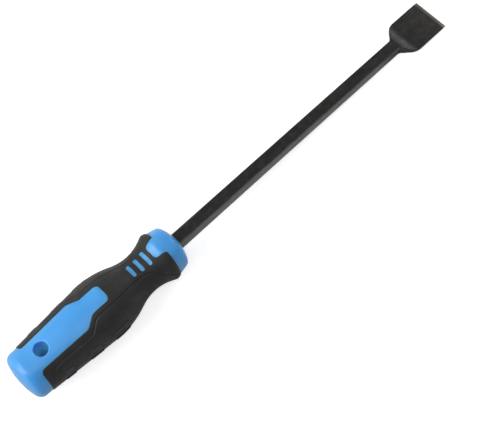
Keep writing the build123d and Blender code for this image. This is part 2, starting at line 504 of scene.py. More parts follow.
@dataclass
class Sheet:
    """A triangulated patch of the skin, as places and angles with triangles between them.

    Attributes:
        places: Place along the tool and angle from the top of each vertex.
        triangles: Vertex numbers, anticlockwise with places across and angles up.
    """

    places: Array
    triangles: Array

    @staticmethod
    def free_places(outline: Array, fixed: Array, spacing: float) -> Array:
        """Lays places in staggered rows, and leaves out those that are close to a fixed one.

        Args:
            outline: The border, whose box the rows fill.
            fixed: The fixed places.
            spacing: Distance between the places.

        Returns:
            The places.
        """
        clear_share, part_size = 0.55, 400
        low, high = outline.min(axis=0), outline.max(axis=0)
        across = np.arange(low[0] + spacing / 2, high[0], spacing)
        up = np.arange(low[1] + spacing / 2, high[1], spacing * math.sqrt(3) / 2)
        free = np.stack(np.meshgrid(across, up), axis=-1)
        free[::2, :, 0] += spacing / 2
        free = free.reshape(-1, 2)
        nearest = np.full(len(free), np.inf)
        for part in np.array_split(fixed, max(1, len(fixed) // part_size)):
            gaps = np.linalg.norm(free[:, None] - part[None], axis=2).min(axis=1)
            nearest = np.minimum(nearest, gaps)
        return free[nearest > clear_share * spacing]

    @classmethod
    def spread(cls, border: Sequence[Array], rows: Sequence[Array], spacing: float) -> "Sheet":
        """Fills a closed border with triangles that follow every row.

        A triangle whose corners all share one angle lies flat along a seam, and is left out.

        Args:
            border: Paths that make the closed border when they are joined end to end.
            rows: Paths inside the border that the triangles' edges must follow.
            spacing: Distance between the free places that fill the rest.

        Returns:
            The patch.
        """
        inside_only, same_place, same_angle = 1, 1e-6, 1e-4
        stretch = np.array([1, FLAT_RADIUS])
        outline = np.vstack([path[:-1] for path in border]) * stretch
        flats = [outline, *(row * stretch for row in rows)]
        firsts = np.cumsum([0] + [len(flat) for flat in flats])
        pairs = [chained(len(flat), first, flat is outline) for flat, first in zip(flats, firsts)]
        fixed = np.vstack(flats)
        flat_places = np.vstack([fixed, cls.free_places(outline, fixed, spacing)])
        corners = [Vector(place) for place in flat_places]
        edges = np.vstack(pairs).tolist()
        found = delaunay_2d_cdt(corners, edges, [], inside_only, same_place)
        places = np.array([tuple(place) for place in found[0]])
        known = [(number, origin[0]) for number, origin in enumerate(found[3]) if origin]
        numbers, origins = np.array(known).T
        places[numbers] = flat_places[origins]
        triangles = np.array(found[2])
        flat_on_seam = np.ptp(places[triangles][:, :, 1], axis=1) < same_angle
        return cls(places / stretch, triangles[~flat_on_seam])


@dataclass
class Shell:
    """Loose surfaces of one piece, gathered before they are welded into one mesh.

    Attributes:
        points: Groups of points in millimetres.
        faces: Groups of triangles, numbered within their own group of points.
        wear: Groups of values, one per point, from 0 on plain surface to 1 on a rubbed edge or
        a bar's top, where the paler tone is partly a painted highlight, and from 1 to 2 down
        the wall of a bore, where the values paint light on the wall.
    """

    points: list[Array] = field(default_factory=list)
    faces: list[Array] = field(default_factory=list)
    wear: list[Array] = field(default_factory=list)

    def add(self, points: Array, faces: Array, wear: Array | None = None) -> None:
        """Adds one surface.

        Args:
            points: Its points.
            faces: Its triangles, anticlockwise when seen from outside.
            wear: Its wear values, or none where it is plain.
        """
        self.points.append(points)
        self.faces.append(faces)
        self.wear.append(np.zeros(len(points)) if wear is None else wear)

    def add_grid(self, grid: Array, flip: bool = False, wear: Array | None = None) -> None:
        """Adds a surface whose points form a grid.

        Args:
            grid: Points in rows and columns.
            flip: Whether the faces turn over.
            wear: Wear values in the same rows and columns.
        """
        rows, columns = grid.shape[:2]
        corner = (np.arange(rows - 1)[:, None] * columns + np.arange(columns - 1)).ravel()
        quads = np.column_stack([corner, corner + 1, corner + columns + 1, corner + columns])
        triangles = np.vstack([quads[:, [0, 1, 2]], quads[:, [0, 2, 3]]])
        flat_wear = None if wear is None else wear.ravel()
        self.add(grid.reshape(-1, 3), triangles[:, ::-1] if flip else triangles, flat_wear)

    def mirrored(self) -> "Shell":
        """Makes the four quarters: the surfaces and their images across Y, Z and both.

        Returns:
            The whole piece.
        """
        whole = Shell()
        for across, up in ((1, 1), (-1, 1), (1, -1), (-1, -1)):
            for points, faces, wear in zip(self.points, self.faces, self.wear):
                facing = faces if across == up else faces[:, ::-1]
                whole.add(points * [1, across, up], facing, wear)
        return whole

    def welded(self) -> tuple[Array, Array, Array]:
        """Joins points that share a place, and drops loose points and triangles that close up.

        Returns:
            The points, the triangles and the wear values.
        """
        points = np.vstack(self.points)
        shifts = np.cumsum([0] + [len(group) for group in self.points[:-1]])
        faces = np.vstack([group + shift for group, shift in zip(self.faces, shifts)])
        keys = np.round(points * WELD_STEPS_PER_MILLIMETRE).astype(np.int64)
        _, first, number = np.unique(keys, axis=0, return_index=True, return_inverse=True)
        faces = number.reshape(-1)[faces]
        open_faces = faces[(faces != np.roll(faces, 1, axis=1)).all(axis=1)]
        used, renumbered = np.unique(open_faces, return_inverse=True)
        kept = first[used]
        return points[kept], renumbered.reshape(-1, 3), np.concatenate(self.wear)[kept]

    def to_object(self, name: str, material: Material) -> Piece:
        """Makes the mesh object, in metres, with its wear as a vertex attribute, which also carries
        painted light.

        Args:
            name: The object's name.
            material: Its finish.

        Returns:
            The new object, linked to the scene.
        """
        points, faces, wear = self.welded()
        mesh = bpy.data.meshes.new(name)
        mesh.from_pydata((points * MILLIMETRE).tolist(), [], faces.tolist())
        mesh.update()
        attribute = mesh.attributes.new("wear", "FLOAT", "POINT")
        attribute.data.foreach_set("value", wear.astype(np.float32))
        mesh.polygons.foreach_set("use_smooth", np.ones(len(mesh.polygons), bool))
        mesh.set_sharp_from_angle(angle=SMOOTH_BELOW)
        return linked(name, mesh, material)


def linked(name: str, mesh: bpy.types.Mesh, material: Material) -> Piece:
    """Gives a mesh its material and an object in the scene.

    Args:
        name: The object's name.
        mesh: Its mesh.
        material: Its finish.

    Returns:
        The object.
    """
    mesh.materials.append(material)
    piece = bpy.data.objects.new(name, mesh)
    bpy.context.scene.collection.objects.link(piece)
    return piece


# Shader building blocks

class Coordinate(Enum):
    """Which coordinates a pattern follows: a piece's own, or the ways out from the world."""

    OBJECT = "Object"
    WAY = "Generated"


class NodeTree:
    """Short calls for building a shader node tree."""

    def __init__(self, tree: Tree) -> None:
        """Starts on a tree, which it empties."""
        self.tree = tree
        self.tree.nodes.clear()

    def node(self, kind: str, settings: dict | None = None, **inputs: object) -> Node:
        """Adds a node.

        Args:
            kind: The node's type, without its ShaderNode prefix.
            settings: Properties to set on it.
            **inputs: Values or links for its inputs, by name with underscores for spaces, or
                by number after an underscore.

        Returns:
            The node.
        """
        made = self.tree.nodes.new(kind if kind.startswith("Node") else f"ShaderNode{kind}")
        for key, value in (settings or {}).items():
            setattr(made, key, value)
        for key, value in inputs.items():
            self.feed(made.inputs[int(key[1:]) if key[0] == "_" else key.replace("_", " ")], value)
        return made

    def feed(self, socket: Socket, value: object) -> None:
        """Links an output to a socket, or sets the socket's value.

        Args:
            socket: The socket.
            value: An output, or a plain value.
        """
        if isinstance(value, bpy.types.NodeSocket):
            self.tree.links.new(value, socket)
        else:
            socket.default_value = value

    def maths(self, operation: str, first: object, second: object, clamp: bool = False) -> Socket:
        """A Math node's output, which is held between 0 and 1 where it is clamped."""
        settings = {"operation": operation, "use_clamp": clamp}
        return self.node("Math", settings, _0=first, _1=second).outputs[0]

    def times(self, first: object, second: object) -> Socket:
        """The product of two values."""
        return self.maths("MULTIPLY", first, second)

    def plus(self, first: object, second: object) -> Socket:
        """The sum of two values."""
        return self.maths("ADD", first, second)

    def larger(self, first: object, second: object) -> Socket:
        """The larger of two values."""
        return self.maths("MAXIMUM", first, second)

    def mixed(self, share: object, first: float | Socket, second: float | Socket) -> Socket:
        """Mixes two values by a share."""
        mixer = self.node("Mix", {"data_type": "FLOAT"}, _0=share, _2=first, _3=second)
        return mixer.outputs[0]

    def blend(self, share: object, first: object, second: object) -> Socket:
        """Mixes two colours by a share."""
        mixer = self.node("Mix", {"data_type": "RGBA"}, _0=share, _6=first, _7=second)
        return mixer.outputs[2]

    def levels(
        self, value: object, low: float, high: float, to_low: float = 0.0, to_high: float = 1.0
    ) -> Socket:
        """Maps a value's range to another, held at both ends, with a smooth step between.

        Args:
            value: The value.
            low: Where the step begins.
            high: Where the step ends.
            to_low: The result below the step.
            to_high: The result above the step.

        Returns:
            The mapped value.
        """
        settings = {"interpolation_type": "SMOOTHSTEP"}
        made = self.node("MapRange", settings, _0=value, _1=low, _2=high, _3=to_low, _4=to_high)
        return made.outputs[0]

    def noise(
        self, vector: object, scale: object, detail: float = 2.0, roughness: float = 0.5
    ) -> Socket:
        """A noise texture's value, mostly 0.3 to 0.7, at a scale in waves per metre."""
        inputs = {"Vector": vector, "Scale": scale, "Detail": detail, "Roughness": roughness}
        return self.node("TexNoise", **inputs).outputs[0]

    def place(self, scale: tuple[float, float, float] = (1, 1, 1)) -> Socket:
        """Object coordinates, stretched by a scale on each axis."""
        source = self.node("TexCoord").outputs[Coordinate.OBJECT.value]
        return self.node("Mapping", Vector=source, Scale=scale).outputs[0]

    def parts(self, vector: Socket) -> dict[str, Socket]:
        """A vector's X, Y and Z."""
        return self.node("SeparateXYZ", Vector=vector).outputs

    def group(self, group: Tree, **inputs: object) -> Socket:
        """Places a shared group and returns its output."""
        return self.node("Group", {"node_tree": group}, **inputs).outputs[0]

    def seen(self, path: Node) -> Socket:
        """A Light Path node's mask of the rays that see white: the camera's and through glass."""
        return self.larger(path.outputs["Is Camera Ray"], path.outputs["Is Transmission Ray"])


def new_group(name: str, output: str, **values: float) -> tuple[NodeTree, dict, Socket]:
    """Starts a shader node group with a Vector input and one output.

    Args:
        name: The group's name.
        output: The output's name.
        **values: Each further input's name and default value.

    Returns:
        The tree, the values given to it and the socket that takes its result.
    """
    group = bpy.data.node_groups.new(name, "ShaderNodeTree")
    group.interface.new_socket("Vector", in_out="INPUT", socket_type="NodeSocketVector")
    for key, value in values.items():
        socket = group.interface.new_socket(key, in_out="INPUT", socket_type="NodeSocketFloat")
        socket.default_value = value
    group.interface.new_socket(output, in_out="OUTPUT", socket_type="NodeSocketFloat")
    nodes = NodeTree(group)
    given = nodes.node("NodeGroupInput").outputs
    return nodes, given, nodes.node("NodeGroupOutput").inputs[output]


def moulded_grain_group() -> Tree:
    """Builds fine spark-eroded grain: two sizes of noise added, as a height from 0 to 1.

    Returns:
        The group.
    """
    broad_scale, fine_share, broad_share = 0.18, 0.75, 0.25
    nodes, given, height = new_group("moulded_grain", "Height", Scale=1500.0)
    fine = nodes.noise(given["Vector"], given["Scale"], roughness=0.6)
    broad = nodes.noise(given["Vector"], nodes.times(given["Scale"], broad_scale), detail=1.0)
    nodes.feed(height, nodes.plus(nodes.times(fine, fine_share), nodes.times(broad, broad_share)))
    return nodes.tree


def edge_wear_group() -> Tree:
    """Builds broken-up edge wear: the wear attribute plus noise, cut by a smooth step. Where the
    attribute carries painted light, on a bar's top or down a bore, so does the mask.

    Returns:
        The group.
    """
    noise_share = 0.6
    nodes, given, mask = new_group("edge_wear", "Mask", Scale=300.0, Amount=0.5)
    wear = nodes.node("Attribute", {"attribute_name": "wear"}).outputs["Fac"]
    patches = nodes.noise(given["Vector"], given["Scale"], detail=3.0, roughness=0.65)
    raised = nodes.plus(nodes.times(wear, given["Amount"]), nodes.times(patches, noise_share))
    nodes.feed(mask, nodes.levels(raised, low=0.42, high=0.78))
    return nodes.tree


def dust_group() -> Tree:
    """Builds sparse specks and faint smears of dust, as a mask from 0 to 1.

    Returns:
        The group.
    """
    speck_scale, smear_share = 9.0, 0.5
    nodes, given, mask = new_group("dust", "Mask", Scale=260.0, Amount=0.5)
    smears = nodes.noise(given["Vector"], given["Scale"], detail=4.0, roughness=0.7)
    smear = nodes.levels(smears, low=0.5, high=0.8)
    specks = nodes.noise(given["Vector"], nodes.times(given["Scale"], speck_scale), detail=1.0)
    speck = nodes.levels(specks, low=0.68, high=0.76)
    both = nodes.larger(nodes.times(smear, smear_share), speck)
    nodes.feed(mask, nodes.maths("MULTIPLY", both, given["Amount"], clamp=True))
    return nodes.tree


@dataclass(frozen=True)
class SharedGroups:
    """The effects that more than one finish uses."""

    grain: Tree
    wear: Tree
    dust: Tree

    @classmethod
    def build(cls) -> "SharedGroups":
        """Builds each group once."""
        return cls(moulded_grain_group(), edge_wear_group(), dust_group())


def new_material(name: str, **plain: object) -> tuple[Material, NodeTree, Node]:
    """Starts a material with one Principled BSDF.

    Args:
        name: The material's name.
        **plain: Values that are the same all over the surface, for the shader's own sockets.

    Returns:
        The material, its nodes and its shader.
    """
    material = bpy.data.materials.new(name)
    material.use_nodes = True
    nodes = NodeTree(material.node_tree)
    shader = nodes.node("BsdfPrincipled", **plain)
    nodes.node("OutputMaterial", Surface=shader.outputs[0])
    return material, nodes, shader


@dataclass(frozen=True)
class Finish:
    """What the three finishes share: a base colour, a range of roughness and a bump.

    Attributes:
        gloss: Roughness where the surface is smoothest.
        gloss_spread: How much rougher it gets.
        worn_share: How far wear changes the colour.
        bump_strength: Strength of the bump.
        bump_height: Height of the bump, in metres.
    """

    gloss: float
    gloss_spread: float
    worn_share: float
    bump_strength: float
    bump_height: float

    def dress(
        self, nodes: NodeTree, shader: Node, colour: Socket, roughness: Socket, height: Socket
    ) -> None:
        """Feeds the shader the values that change over the surface.

        Args:
            nodes: The material's nodes.
            shader: The shader.
            colour: The base colour.
            roughness: The roughness.
            height: The bump's height, from 0 to 1.
        """
        nodes.feed(shader.inputs["Base Color"], colour)
        nodes.feed(shader.inputs["Roughness"], roughness)
        inputs = {"Strength": self.bump_strength, "Distance": self.bump_height, "Height": height}
        nodes.feed(shader.inputs["Normal"], nodes.node("Bump", **inputs).outputs[0])


@dataclass(frozen=True)
class BluePlastic(Finish):
    """Satin injection-moulded plastic, with light painted deep in the hang hole as a paler blue."""

    gloss: float = 0.28
    gloss_spread: float = 0.12
    worn_share: float = 0.4
    bump_strength: float = 0.1
    bump_height: float = 0.0002
    colour: Colour = (0.09, 0.39, 0.81, 1)
    deep: Colour = (0.072, 0.35, 0.755, 1)
    scuff_and_bore_light: Colour = (0.17, 0.48, 0.88, 1)
    painted_bore_light: Colour = (0.26, 0.72, 1.0, 1)

    def build(self, groups: SharedGroups) -> Material:
        """Builds the finish.

        Args:
            groups: The shared effects.

        Returns:
            The material.
        """
        material, nodes, shader = new_material(
            "blue_plastic",
            Subsurface_Weight=0.8,
            Subsurface_Radius=(0.5, 0.8, 1.0),
            Subsurface_Scale=0.0025,
        )
        place = nodes.place()
        drift = nodes.levels(nodes.noise(place, scale=45.0, detail=3.0), low=0.35, high=0.65)
        colour = nodes.blend(drift, self.deep, self.colour)
        # The wear attribute is 1 or more down the hang hole's wall, so this paler scuffed blue is
        # painted light there.
        wear = nodes.group(groups.wear, Vector=place, Scale=420.0, Amount=0.45)
        colour = nodes.blend(nodes.times(wear, self.worn_share), colour, self.scuff_and_bore_light)
        # Painted light: the hang hole's wall turns a paler blue deeper down, standing in for light
        # that would reach it.
        value = nodes.node("Attribute", {"attribute_name": "wear"}).outputs["Fac"]
        colour = nodes.blend(nodes.levels(value, low=1.0, high=1.8), colour, self.painted_bore_light)
        rubs = nodes.noise(nodes.place((1, 3, 3)), scale=120.0, detail=4.0, roughness=0.7)
        rough = nodes.levels(rubs, 0.4, 0.7, self.gloss, self.gloss + self.gloss_spread)
        grain = nodes.group(groups.grain, Vector=place, Scale=1900.0)
        self.dress(nodes, shader, colour, rough, grain)
        return material


@dataclass(frozen=True)
class SoftBlack(Finish):
    """Matte soft-touch elastomer with a fine grain, paler where hands rub it, and on the bars' tops
    partly as a painted highlight.
    """

    gloss: float = 0.5
    gloss_spread: float = 0.1
    worn_share: float = 0.7
    bump_strength: float = 0.35
    bump_height: float = 0.0003
    patch_share: float = 0.35
    colour: Colour = (0.017, 0.0168, 0.0168, 1)
    rubbed: Colour = (0.034, 0.0335, 0.033, 1)
    dusty: Colour = (0.11, 0.108, 0.102, 1)

    def build(self, groups: SharedGroups) -> Material:
        """Builds the finish.

        Args:
            groups: The shared effects.

        Returns:
            The material.
        """
        material, nodes, shader = new_material(
            "soft_black",
            Specular_IOR_Level=0.36,
            Sheen_Weight=0.1,
            Sheen_Roughness=0.32,
            Sheen_Tint=(1.0, 0.95, 0.9, 1),
        )
        place = nodes.place()
        handled = nodes.noise(place, scale=60.0, detail=4.0, roughness=0.6)
        patches = nodes.levels(handled, low=0.4, high=0.7)
        colour = nodes.blend(nodes.times(patches, self.patch_share), self.colour, self.rubbed)
        # The wear attribute is high on the bars' tops, so this paler colour there is partly a
        # painted highlight.
        wear = nodes.group(groups.wear, Vector=place, Scale=500.0, Amount=0.5)
        colour = nodes.blend(nodes.times(wear, self.worn_share), colour, self.rubbed)
        dust = nodes.group(groups.dust, Vector=place, Scale=240.0, Amount=0.12)
        colour = nodes.blend(dust, colour, self.dusty)
        rough = nodes.levels(patches, 0, 1, self.gloss + self.gloss_spread, self.gloss)
        grain = nodes.group(groups.grain, Vector=place, Scale=1500.0)
        self.dress(nodes, shader, colour, rough, grain)
        return material


@dataclass(frozen=True)
class BlackenedSteel(Finish):
    """Forged steel with a black oxide finish, rubbed on its arrises and tinted at its tip."""

    gloss: float = 0.3
    gloss_spread: float = 0.16
    worn_share: float = 0.6
    bump_strength: float = 0.18
    bump_height: float = 0.0002
    mottle_share: float = 0.6
    tip_share: float = 0.6
    tip_start: float = 0.262
    tip_end: float = 0.281
    colour: Colour = (0.0395, 0.039, 0.0385, 1)
    scale_mark: Colour = (0.069, 0.066, 0.063, 1)
    bare: Colour = (0.2, 0.19, 0.18, 1)
    tip_tint: Colour = (0.082, 0.07, 0.06, 1)

    def build(self, groups: SharedGroups) -> Material:
        """Builds the finish.

        Args:
            groups: The shared effects.

        Returns:
            The material.
        """
        material, nodes, shader = new_material("blackened_steel", Metallic=0.75)
        place = nodes.place()
        drawn = nodes.noise(nodes.place((0.06, 1, 1)), scale=900.0, detail=3.0, roughness=0.65)
        marks = nodes.noise(place, scale=260.0, detail=5.0, roughness=0.62)
        mottle = nodes.levels(marks, low=0.42, high=0.68)
        colour = nodes.blend(nodes.times(mottle, self.mottle_share), self.colour, self.scale_mark)
        tip = nodes.levels(nodes.parts(place)["X"], self.tip_start, self.tip_end)
        blots = nodes.noise(nodes.place((1, 0.6, 1)), scale=210.0, detail=4.0, roughness=0.6)
        patches = nodes.levels(blots, low=0.48, high=0.62, to_low=0.5)
        tinted = nodes.times(nodes.times(tip, patches), self.tip_share)
        colour = nodes.blend(tinted, colour, self.tip_tint)
        along_bar = nodes.place((0.35, 1, 1))
        wear = nodes.group(groups.wear, Vector=along_bar, Scale=420.0, Amount=0.55)
        colour = nodes.blend(nodes.times(wear, self.worn_share), colour, self.bare)
        rough = nodes.levels(drawn, 0.3, 0.7, self.gloss, self.gloss + self.gloss_spread)
        height = nodes.plus(nodes.times(drawn, 0.5), nodes.times(mottle, 0.5))
        self.dress(nodes, shader, colour, rough, height)
        return material


# The pieces

@dataclass
class SoftGrip:
    """The black overmould: a sleeve with windows, a moulded line round each pad and raised bars.

    Attributes:
        lip_rows: Distances of the rows of places beside a cut edge.
        line_rows: Distances of the rows on each side of the moulded line's middle.
        bar_rows: Distances of the rows round each bar's edge, negative inside it.
        bar_row_places: How many places go round each of these, with the first one again.
        bar_row_start: A hair's turn that keeps each of them to one end of the bar.
        wall_rows: Rows down the wall of a cut edge.
    """

    handle: HandlePlan
    pad: PadPlan
    lip_rows: tuple[float, ...] = (0.03, 0.09, 0.18, 0.32, 0.7)
    line_rows: tuple[float, ...] = (0.0, 0.16, 0.32, 0.48, 0.65, 0.87)
    bar_rows: tuple[float, ...] = (0.62, 0.42, 0.22, 0.02, -0.14, -0.3, -0.5)
    bar_row_places: int = 33
    bar_row_start: float = 1e-4
    wall_rows: int = 4
    lip_wear_reach: float = 0.35
    bar_top_rub_and_highlight: float = 0.75
    bar_top_paling_from: float = 0.05
    bar_top_paling_ease: float = 0.2
    line_wear: float = 0.1
    line_wear_from: float = 0.7
    line_wear_reach: float = 0.25

    def border(self) -> list[Array]:
        """Lays out the closed border of the quarter, anticlockwise from the panel's front end.

        Returns:
            The cut edges and the rows that join them.
        """
        cuts = self.handle.cut_paths()
        loop: list[Array] = []
        for before, after in zip(cuts, cuts[1:]):
            loop += [self.handle.bridge(before[-1], after[0]), after]
        return [*loop, self.handle.bridge(cuts[-1][-1], cuts[0][0]), cuts[0]]

    def bars(self) -> list[tuple[float, float]]:
        """Middle of each bar and half the length between its round ends' centres."""
        sizes = zip(self.pad.bar_centres, self.pad.bar_lengths)
        return [(centre, (length - self.pad.bar_width) / 2) for centre, length in sizes]

    def bar_distance(self, places: Array) -> Array:
        """Signed distance to the nearest raised bar, negative inside it.

        A bar is every place within half its width of a short line along the tool, seen from
        the side, so the distance is that to the line less the half width.

        Args:
            places: Places and angles.

        Returns:
            One distance per place.
        """
        height = self.handle.skin.radius(places[:, 0]) * np.cos(places[:, 1])
        nearest = np.full(len(places), np.inf)
        for centre, half in self.bars():
            along = np.maximum(np.abs(places[:, 0] - centre) - half, 0)
            from_line = np.hypot(along, height - self.pad.bar_height)
            nearest = np.minimum(nearest, from_line - self.pad.bar_width / 2)
        return nearest

    def bar_outlines(self) -> list[Array]:
        """Lays closed rows round each bar.

        Returns:
            Places and angles of each row.
        """
        skin, rows = self.handle.skin, []
        turn = np.linspace(0, 2 * np.pi, self.bar_row_places)[:-1] + self.bar_row_start
        for centre, half in self.bars():
            for shift in self.bar_rows:
                ring = arc(self.pad.bar_width / 2 + shift, turn)
                ring[:, 0] += centre + half * np.sign(np.cos(turn))
                ring = filled_path(np.vstack([ring, ring[:1]]), self.handle.fine)
                angle = np.arccos((self.pad.bar_height + ring[:, 1]) / skin.radius(ring[:, 0]))
                rows.append(np.column_stack([ring[:, 0], angle]))
        return rows

    def rows(self) -> list[Array]:
        """Lays every row inside the border: by the cut edges, along the line and round the bars.

        Returns:
            Places and angles of each row.
        """
        skin, cuts, line = self.handle.skin, self.handle.cut_paths(), self.pad.line_path()
        beside = [offset_path(cut, shift, skin) for cut in cuts for shift in self.lip_rows]
        shifts = [shift * side for shift in self.line_rows for side in (1, -1) if shift or side > 0]
        return beside + [offset_path(line, shift, skin) for shift in shifts] + self.bar_outlines()

    def skin_points(self, sheet: Sheet) -> tuple[Array, Array]:
        """Works out the outer surface and its wear.

        The radius is the skin's, less the round of the lip beside a cut edge, less a cosine
        trough along the moulded line and round each bar, plus an eased step up on to the bar.
        The wear is highest on the bars' tops, where its paler tone is partly a painted highlight.

        Args:
            sheet: The fine patch.

        Returns:
            The points and their wear.
        """
        places, skin, pad = sheet.places, self.handle.skin, self.pad
        cuts = self.handle.cut_paths()
        edge = np.min([path_distance(places, cut, skin) for cut in cuts], axis=0)
        line = path_distance(places, pad.line_path(), skin)
        trough = pad.depth * hump(line, pad.half_width)
        bar = self.bar_distance(places)
        moat = pad.moat_depth * hump(np.abs(bar - pad.moat_middle), pad.moat_middle)
        rise = pad.bar_rise * eased(-bar / pad.bar_ease) - moat
        lip = round_drop(edge, self.handle.lip_round)
        radius = skin.radius(places[:, 0]) - lip - trough + rise
        # The bars' tops are paler: partly rubbing, partly a painted highlight on their raised tops.
        paled_bar_top = self.bar_top_rub_and_highlight * eased((-self.bar_top_paling_from - bar) / self.bar_top_paling_ease)
        beside_line = np.abs(line - self.line_wear_from)
        worn_line = self.line_wear * fading(beside_line, self.line_wear_reach)
        wear = np.clip(fading(edge, self.lip_wear_reach) + paled_bar_top + worn_line, 0, 1)
        return on_quarter(places, radius), wear

    def build(self, material: Material) -> Piece:
        """Makes the grip as a closed sleeve: skin, seat and the walls that join them.

        Args:
            material: The finish.

        Returns:
            The object.
        """
        border, handle = self.border(), self.handle
        outer = Sheet.spread(border, self.rows(), handle.fine)
        inner = Sheet.spread(border, [], handle.coarse)
        shell = Shell()
        points, wear = self.skin_points(outer)
        shell.add(points, outer.triangles[:, ::-1], wear)
        seat = handle.skin.radius(inner.places[:, 0]) - handle.wall
        shell.add(on_quarter(inner.places, seat), inner.triangles)
        for cut in handle.cut_paths():
            skin = handle.skin.radius(cut[:, 0])
            top = on_quarter(cut, skin - handle.lip_round)
            bottom = on_quarter(cut, skin - handle.wall)
            shell.add_grid(led_across(top, bottom, np.linspace(0, 1, self.wall_rows)))
        piece = shell.mirrored().to_object("soft_grip_skin", material)
        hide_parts("soft_grip")
        return piece


@dataclass
class HandleCore:
    """The blue moulding: butt, hang hole, panel, dashes, tongue and collar under the grip.

    Attributes:
        hole_draft: How much a half of the hole narrows to its middle, on the radius.
        land_height: How far the land in the hole's middle stands in.
        bar_gap: Gap between the socket and the tang.
        seat_gap: Gap between the seat and the grip.
        strip: How far an open region runs past the grip's end.
        turns: Steps round a quarter of a turned surface.
        hole_rows: Distances of the rows of places round the hole's mouth.
        wall_shares: Places of the rings down the hole's wall, as shares of half its length.
        apron_from: Radius at which the nose goes over into the bar's outline, in half bars.
        apron_rows: Rows of that, with the first.
    """

    handle: HandlePlan
    dome_rise: float = 2.6
    butt_round: float = 4.6
    nose_radius: float = 12.4
    nose_rise: float = 3.6
    nose_round: float = 2.8
    hole_radius: float = 4.0
    hole_round: float = 0.6
    hole_draft: float = 0.12
    land_height: float = 0.25
    land_half_length: float = 3.0
    land_ease: float = 0.9
    bar_gap: float = 0.05
    seat_gap: float = 0.03
    strip: float = 1.2
    turns: int = 24
    round_places: int = 13
    dome_places: int = 18
    hole_places: int = 37
    hole_rows: tuple[float, ...] = (0.06, 0.15, 0.28, 0.44, 0.62, 0.95)
    wall_shares: tuple[float, ...] = (
        0, 0.12, 0.25, 0.4, 0.55, 0.68, 0.72, 0.735, 0.75, 0.765, 0.78, 0.79, 0.9, 1.0
    )
    apron_from: float = 1.55
    apron_rows: int = 5
    edge_wear: float = 0.5
    edge_wear_reach: float = 0.3
    mouth_wear_from: float = 0.3
    butt_wear_reach: float = 0.8

    @property
    def butt_radius(self) -> float:
        """Radius of the butt's straight sides."""
        return self.handle.rear_radius - self.handle.recess

    @property
    def quarter(self) -> Array:
        """Even angles over a quarter turn."""
        return np.linspace(0, QUARTER_TURN, self.turns + 1)

    def radius(self, along: Array) -> Array:
        """Radius of the core's open surface: the skin less the recess, and straight beyond it.

        Args:
            along: Places along the tool.

        Returns:
            One radius per place.
        """
        handle = self.handle
        inside = handle.skin.radius(along) - handle.recess
        front = handle.front_radius - handle.recess
        slope = (self.nose_radius - front) / (handle.nose_x - self.nose_rise - handle.front_x)
        beyond = front + slope * (along - handle.front_x)
        return np.where(along > handle.front_x, beyond, inside)

    def domed_profile(
        self, line_start: Array, corner: Array, apex: float, rise: float, corner_round: float
    ) -> Array:
        """Side outline of a cap: a straight side, a rounded corner and a shallow dome.

        The dome is an arc through the apex and the corner, square to the axis at the apex, so
        its radius is (rise^2 + half^2) / (2 rise). The corner's arc touches both: its centre
        is a round in from the side, and dome radius less round from the dome's centre.

        Args:
            line_start: Place and radius where the side begins.
            corner: Place and radius where the side would meet the dome.
            apex: Place of the dome's apex.
            rise: Height of the dome.
            corner_round: Radius of the corner's arc.

        Returns:
            Places and radii from the side's start to the apex.
        """
        facing = np.sign(apex - corner[0])
        dome = (rise**2 + corner[1] ** 2) / (2 * rise)
        centre = np.array([apex - facing * dome, 0])
        side = unit(corner - line_start)
        inward = np.array([side[1], -side[0]]) * facing
        base = line_start + inward * corner_round
        gap = base - centre
        middle = gap @ side
        reach = -middle + np.sqrt(middle**2 - gap @ gap + (dome - corner_round) ** 2)
        hub = base + side * reach
        touch = unit(hub - centre)
        first = np.arctan2(*(-inward)[::-1])
        last = np.arctan2(touch[1], touch[0])
        turn = first + np.linspace(0, 1, self.round_places) * shorter_turn(first, last)
        end = 0.0 if facing > 0 else np.pi
        start = last if facing > 0 else last % (2 * np.pi)
        sweep = np.linspace(start, end, self.dome_places)[1:]
        return np.vstack([line_start, hub + arc(corner_round, turn), centre + arc(dome, sweep)])

    def revolved(self, profile: Array) -> Array:
        """A quarter of a turned surface, as a grid of profile places by angles."""
        return turned(profile[:, :1], self.quarter, profile[:, 1:])

    def hole_ring(self, extra: float) -> Array:
        """Half ring round the hang hole, a distance outside it, as places and angles."""
        plan = arc(self.hole_radius + extra, np.linspace(np.pi, 0, self.hole_places))
        return wrapped(plan, self.radius(plan[:, 0]))

    def from_hole(self, points: Array) -> Array:
        """Distance in plan from the hang hole's edge, negative inside it."""
        return np.hypot(points[:, 0], points[:, 1]) - self.hole_radius

    def open_points(self, places: Array) -> Array:
        """Works out the open surface, which falls by a round beside the hang hole.

        Args:
            places: Places and angles.

        Returns:
            The points.
        """
        points = on_quarter(places, self.radius(places[:, 0]))
        points[:, 2] -= round_drop(np.maximum(self.from_hole(points), 0), self.hole_round)
        return points

    def add_open(
        self, shell: Shell, border: Sequence[Array], rows: Sequence[Array], edge: Array
    ) -> None:
        """Adds one open region, with a little wear where it meets the grip and at the hole.

        Args:
            shell: The piece so far.
            border: The region's closed border.
            rows: Rows that the triangles follow.
            edge: The cut edge that bounds it.
        """
        sheet = Sheet.spread(border, rows, self.handle.fine)
        gap = path_distance(sheet.places, edge, self.handle.skin)
        points = self.open_points(sheet.places)
        mouth = np.abs(self.from_hole(points) - self.mouth_wear_from)
        reach = self.edge_wear_reach
        wear = np.clip(self.edge_wear * fading(gap, reach) + fading(mouth, reach), 0, 1)
        shell.add(points, sheet.triangles[:, ::-1], wear)

    def ring_of(self, along: float) -> Array:
        """Quarter ring at one place, as places and angles."""
        return np.column_stack([np.full(self.turns + 1, along), self.quarter])

